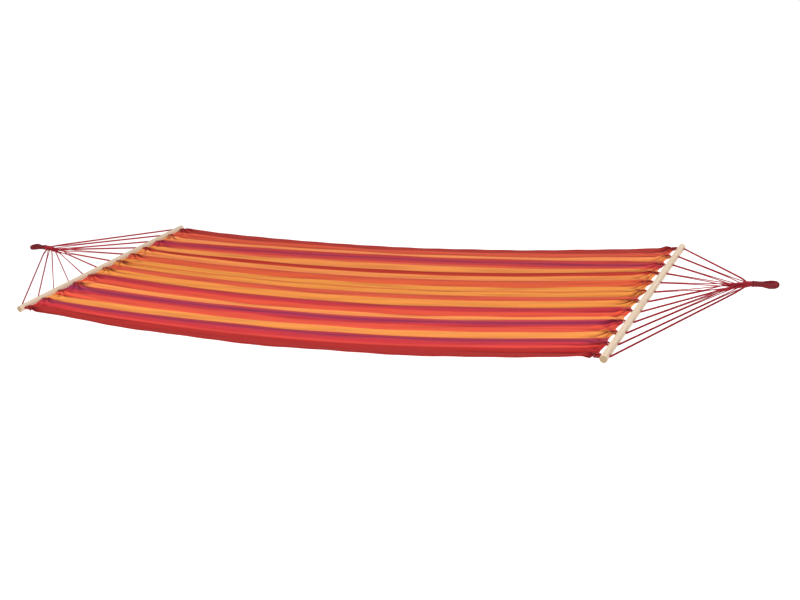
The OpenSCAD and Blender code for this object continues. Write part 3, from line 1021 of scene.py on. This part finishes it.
def strand(i, level, opens, draws):
    """Corners of one strand from the bar to the neck; level is 1 for the upper
    strand and -1 for the lower."""
    y = gather_y(i)
    outer = abs(i - 5.5) / 5.5
    loose = 1.45 - 0.25 * outer
    pick = max if level == 1 else min
    slot_y, slot_z = pick(SLOTS[i], key=lambda slot: slot[1])
    join_x = (JOIN_X + JOIN_SPREAD * outer ** 1.1) + draws.uniform(-5, 5) * (1 - outer)
    leave = np.array([BAR_X + HOLE_EXIT, y, BAR_Z + level * PAIR_Z])
    meet = np.array([join_x, slot_y * loose, fan_z(join_x) + slot_z * loose])
    # the line that the two strands share until they part
    mean_y, mean_z = np.mean(np.array(SLOTS[i]), 0) * loose
    pair_leave = np.array([BAR_X + HOLE_EXIT, y, BAR_Z])
    pair_meet = np.array([join_x, mean_y, fan_z(join_x) + mean_z])
    sag, slip = draws.uniform(0.6, 2.4), draws.uniform(-1.0, 1.0)
    corners = [np.array([BAR_X - HOLE_EXIT, y, BAR_Z + level * PAIR_Z]), leave]
    for share, slack in STRAND_STATIONS:
        apart = ease(share, opens, OPEN_END)
        point = ((pair_leave + (pair_meet - pair_leave) * share) * (1 - apart)
                 + (leave + (meet - leave) * share) * apart)
        point[2] += level * (1 - apart) * 1.66 - slack * sag * apart
        point[1] += slack * slip * apart
        corners.append(point)
    if join_x < APEX_X - 19.0:
        corners.append(meet)
    before = APEX_X - 13.0
    return corners + [
        np.array([before, slot_y * 1.22, fan_z(before) + slot_z * 1.15]),
        np.array([APEX_X, slot_y * 0.93, EYE_Z + slot_z * 0.92]),
        np.array([STRAND_END_X, slot_y * 0.85, EYE_Z + slot_z * 0.80])]


def cord(i, seed, opens):
    """One doubled cord at the foot as a single run of rope: neck, hole, loop round
    the rolled hem, hole again, neck."""
    draws = np.random.default_rng(seed)
    upper, lower = [strand(i, level, opens, draws) for level in (1, -1)]
    loop = [np.array([ROLL_X - BIGHT_R * math.sin(a), gather_y(i),
                      BAR_Z + BIGHT_R * math.cos(a)])
            for a in np.linspace(0, math.pi, 15)]
    cuts = [3.0, 3.2, 9.0] + [40.0] * (len(upper) - 6) + [14.0, 6.0, 0.0]
    path = fillet(upper[::-1] + loop + lower, cuts[::-1] + [0.0] * len(loop) + cuts)
    return tube(path, radius=1.76, sides=12, step=0.8, lobes=3, depth=0.13, lay=8.4,
                phase=draws.uniform(0, 6))


for end, side in ENDS:
    for i in range(CORDS):
        run = cord(i, 100 + 40 * (side < 0) + i, OPENS[side][i])
        obj = rope_object(f"{end}_rope_{i + 1:02d}", run, side, ROPE)
        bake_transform(obj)
        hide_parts(f"{end}_cord_{i + 1:02d}")


# --------------------------------------------------- whipped necks and eyes
# The section of each is an ellipse: its flat radius lies in the XY plane and its tall
# radius is upright. Each radius is a function of length along and total length.
NECK_X0, NECK_X1 = APEX_X + 1.5, 1452.5
THROAT = 1440.0                     # X where the two legs of the eye meet
LEG_START = 4.0                     # the legs start this far past the throat
LOOP_R = 17.4                       # centre line of the eye's round


def coil(path, flat, tall, cord_radius, pitch, turn_points):
    """Cord wound tightly round a path."""
    points, lengths = resample(path, 0.5)
    total = lengths[-1]
    s = np.linspace(0, total, int(total / pitch * turn_points))
    angle = 2 * math.pi * s / pitch
    centre, normal, binormal = [
        np.stack([np.interp(s, lengths, rows[:, k]) for k in range(3)], 1)
        for rows in (points, *frames(points))]
    uneven = 1 + 0.012 * np.sin(angle * 0.37 + 1.0) + 0.010 * np.sin(angle * 0.113)
    wound = (centre + normal * (tall(s, total) * uneven * np.cos(angle))[:, None]
             + binormal * (flat(s, total) * uneven * np.sin(angle))[:, None])
    return tube(wound, cord_radius, sides=8, step=1.2, lobes=2, depth=0.16, lay=5.0)


def core(path, flat, tall, inset):
    """The bundle under the whipping, as an elliptical tube."""
    # the low value gives the core the dark rope colour: painted shade seen between the
    # turns of the whipping
    sides, ply_shade = 28, 0.15
    points, lengths = resample(path, 1.5)
    normal, binormal = frames(points)
    flat_r = (flat(lengths, lengths[-1]) - inset)[:, None]
    tall_r = (tall(lengths, lengths[-1]) - inset)[:, None]
    angle = np.arange(sides) * 2 * math.pi / sides
    rings = (points[:, None, :] + (tall_r * np.cos(angle))[..., None] * normal[:, None, :]
             + (flat_r * np.sin(angle))[..., None] * binormal[:, None, :])
    full_turn = 6.2832
    return rope_skin(rings, points, lengths, angle / full_turn, np.full(sides, ply_shade), ply_shade)


def neck_parts():
    def swell(s):
        return bell(s - 3.0, 2.6)

    def flat(s, total):
        return 10.7 + 1.7 * ease(s, 0.0, total) + 1.5 * swell(s)

    def tall(s, total):
        return 7.9 - 0.9 * ease(s, 0.0, total) + 0.9 * swell(s)

    path = np.array([[NECK_X0, 0, EYE_Z], [NECK_X1, 0, EYE_Z]])
    return join([coil(path, flat, tall, cord_radius=1.18, pitch=2.2, turn_points=30),
                 core(path, flat, tall, inset=0.15)])


def eye_path():
    """Centre line of the eye: two legs from the throat and the round between."""
    tangent = math.acos(LOOP_R / (EYE_X - THROAT))  # from the throat side
    leg_y = LEG_START * math.tan(math.pi / 2 - tangent)
    turn = math.pi - tangent
    points = [(EYE_X + LOOP_R * math.cos(a), LOOP_R * math.sin(a), EYE_Z)
              for a in np.linspace(turn, -turn, 90)]
    leg_x = THROAT + LEG_START
    return np.array([(leg_x, leg_y, EYE_Z), *points, (leg_x, -leg_y, EYE_Z)])


def eye_parts():
    def flat(s, total):
        return np.full_like(s, 4.05)

    def tall(s, total):
        return np.full_like(s, 6.7)

    path = eye_path()
    return join([coil(path, flat, tall, cord_radius=1.12, pitch=2.15, turn_points=26),
                 core(path, flat, tall, inset=0.10)])


for end, side in ENDS:
    for what, parts in (("neck", neck_parts()), ("eye", eye_parts())):
        obj = rope_object(f"{end}_{what}_whipping", parts, side, WHIP)
        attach(obj, f"{end}_hanger")
        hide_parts(f"{end}_{what}")


# -------------------------------------------------------------------- bars
END_ROUND = 2.8                     # radius of the eased ends
BAR_RINGS, BAR_SIDES = 110, 56
HOLE_SIDES = 24
# cutter for one hole: X from the bar's centre, radius; flared at both mouths
HOLE_PROFILE = [(-16, 6.2), (-12.4, 5.0), (-11.6, 4.25), (-10.4, 3.9), (-9, 3.8),
                (9, 3.8), (10.4, 3.9), (11.6, 4.25), (12.4, 5.0), (16, 6.2)]


def circle(sides):
    """Cosines and sines of even steps round a circle."""
    angle = np.arange(sides) * 2 * math.pi / sides
    return np.cos(angle), np.sin(angle)


def turned_bar(seed):
    """The foot bar before it is drilled."""
    phase = np.random.default_rng(seed).uniform(0, 6, 3)[0]
    ends = [(-BAR_HALF + END_ROUND * (1 - math.cos(math.radians(a))),
             BAR_R - END_ROUND * (1 - math.sin(math.radians(a))))
            for a in range(0, 91, 15)]
    middle = [(y, BAR_R) for y in np.linspace(-BAR_HALF + 8, BAR_HALF - 8, BAR_RINGS)]
    ys, radii = np.array(ends + middle + [(-y, r) for y, r in reversed(ends)]).T
    uneven = 1 - 0.006 * (0.5 + 0.5 * np.sin(ys / BAR_HALF * 9 + phase))
    cos, sin = circle(BAR_SIDES)
    radii = (radii * uneven)[:, None]
    rings = np.stack([BAR_X + radii * cos, np.repeat(ys[:, None], BAR_SIDES, 1),
                      BAR_Z + radii * sin], -1)
    verts, faces = skin(rings, (BAR_X, ys[0], BAR_Z), (BAR_X, ys[-1], BAR_Z))
    # rings that follow each other along Y turn the skin inside out, so turn it back
    return verts, faces[:, [0, 3, 2, 1]]


def hole_pin(side, y):
    """Cutter for the hole at y."""
    out, radii = np.array(HOLE_PROFILE).T
    xs = side * BAR_X + out
    cos, sin = circle(HOLE_SIDES)
    rings = np.stack([np.repeat(xs[:, None], HOLE_SIDES, 1), y + radii[:, None] * cos,
                      BAR_Z + radii[:, None] * sin], -1)
    return skin(rings, (xs[0], y, BAR_Z), (xs[-1], y, BAR_Z))


def spreader_bar(name, side, seed):
    """A turned bar with eased ends and twelve holes with rounded rims."""
    obj = make_object(name, *at_end(*turned_bar(seed), side), [WOOD])
    pins = join([hole_pin(side, gather_y(i)) for i in range(CORDS)])
    cutter = make_object(name + "_cut", *pins, [WOOD])
    holes = obj.modifiers.new("holes", "BOOLEAN")
    holes.operation = "DIFFERENCE"
    holes.object = cutter
    holes.solver = "EXACT"
    depsgraph = bpy.context.evaluated_depsgraph_get()
    mesh = bpy.data.meshes.new_from_object(obj.evaluated_get(depsgraph))
    obj.modifiers.clear()
    obj.data = mesh
    bpy.data.objects.remove(cutter)
    mesh.polygons.foreach_set("use_smooth", np.full(len(mesh.polygons), True))
    mesh.set_sharp_from_angle(angle=math.radians(38))
    return obj


for end, side in ENDS:
    obj = spreader_bar(f"{end}_spreader_bar", side, seed=5 + side)
    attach(obj, f"{end}_harness")
    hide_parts(f"{end}_bar")


# ------------------------------------------------ floor, light and camera
FLOOR_HALF, FLOOR_Z = 40000.0, -900


def floor():
    mat = Shader("floor_paint")
    place = mat.new("ShaderNodeTexCoord").outputs["Object"]
    mottle = mat.noise(place, scale=1.2, detail=2.0)
    mat.finish(Base_Color=mat.mix(mottle, (0.86, 0.86, 0.86, 1), (0.88, 0.88, 0.88, 1)),
               Roughness=0.9, Specular_IOR_Level=0.05, Emission_Color=(1, 1, 1, 1),
               Emission_Strength=0.58)
    corners = [(x * FLOOR_HALF, y * FLOOR_HALF, FLOOR_Z)
               for x, y in ((-1, -1), (1, -1), (1, 1), (-1, 1))]
    make_object("studio_floor", corners, [(0, 1, 2, 3)], [mat.material],
                         smooth=False)


def studio_world():
    """White to the camera, and a dimmer white as a light."""
    world = bpy.data.worlds.new("studio")
    bpy.context.scene.world = world
    world.use_nodes = True
    nodes, links = world.node_tree.nodes, world.node_tree.links
    nodes.clear()
    output = nodes.new("ShaderNodeOutputWorld")
    lighting = nodes.new("ShaderNodeBackground")
    seen = nodes.new("ShaderNodeBackground")
    mix = nodes.new("ShaderNodeMixShader")
    rays = nodes.new("ShaderNodeLightPath")
    for background, strength in ((lighting, 0.52), (seen, 1.0)):
        background.inputs["Color"].default_value = (1.0, 1.0, 1.0, 1)
        background.inputs["Strength"].default_value = strength
    links.new(rays.outputs["Is Camera Ray"], mix.inputs[0])
    links.new(lighting.outputs[0], mix.inputs[1])
    links.new(seen.outputs[0], mix.inputs[2])
    links.new(mix.outputs[0], output.inputs[0])


def soft_light(name, place, aim, size, power):
    light = bpy.data.lights.new(name, "AREA")
    light.shape = "RECTANGLE"
    light.size, light.size_y = size
    light.energy = power
    obj = bpy.data.objects.new(name, light)
    bpy.context.scene.collection.objects.link(obj)
    obj.location = place
    obj.rotation_mode = "QUATERNION"
    obj.rotation_quaternion = (Vector(aim) - Vector(place)).to_track_quat("-Z", "Y")


def camera():
    data = bpy.data.cameras.new("photo_view")
    data.sensor_width = 36.0
    data.lens = 49.34
    data.clip_start, data.clip_end = 0.05, 200
    obj = bpy.data.objects.new("photo_view", data)
    bpy.context.scene.collection.objects.link(obj)
    right = (0.894414, 0.434106, -0.10759)
    up = (-0.060063, 0.354974, 0.932945)
    backward = (0.443189, -0.827976, 0.343568)
    obj.rotation_mode = "QUATERNION"
    obj.rotation_quaternion = Matrix((right, up, backward)).transposed().to_quaternion()
    obj.location = (1.9387, -3.2198, 1.3195)
    bpy.context.scene.camera = obj


floor()
studio_world()
soft_light("key_softbox", place=(0.0, -3.6, 3.8), aim=(0.3, 0, 0), size=(2.4, 1.8),
           power=191)
soft_light("far_softbox", place=(2.4, 3.6, 2.6), aim=(0, 0, 0), size=(2.4, 1.4),
           power=60)
camera()
bpy.context.scene.view_settings.view_transform = "Standard"
bpy.context.scene.view_settings.look = "None"
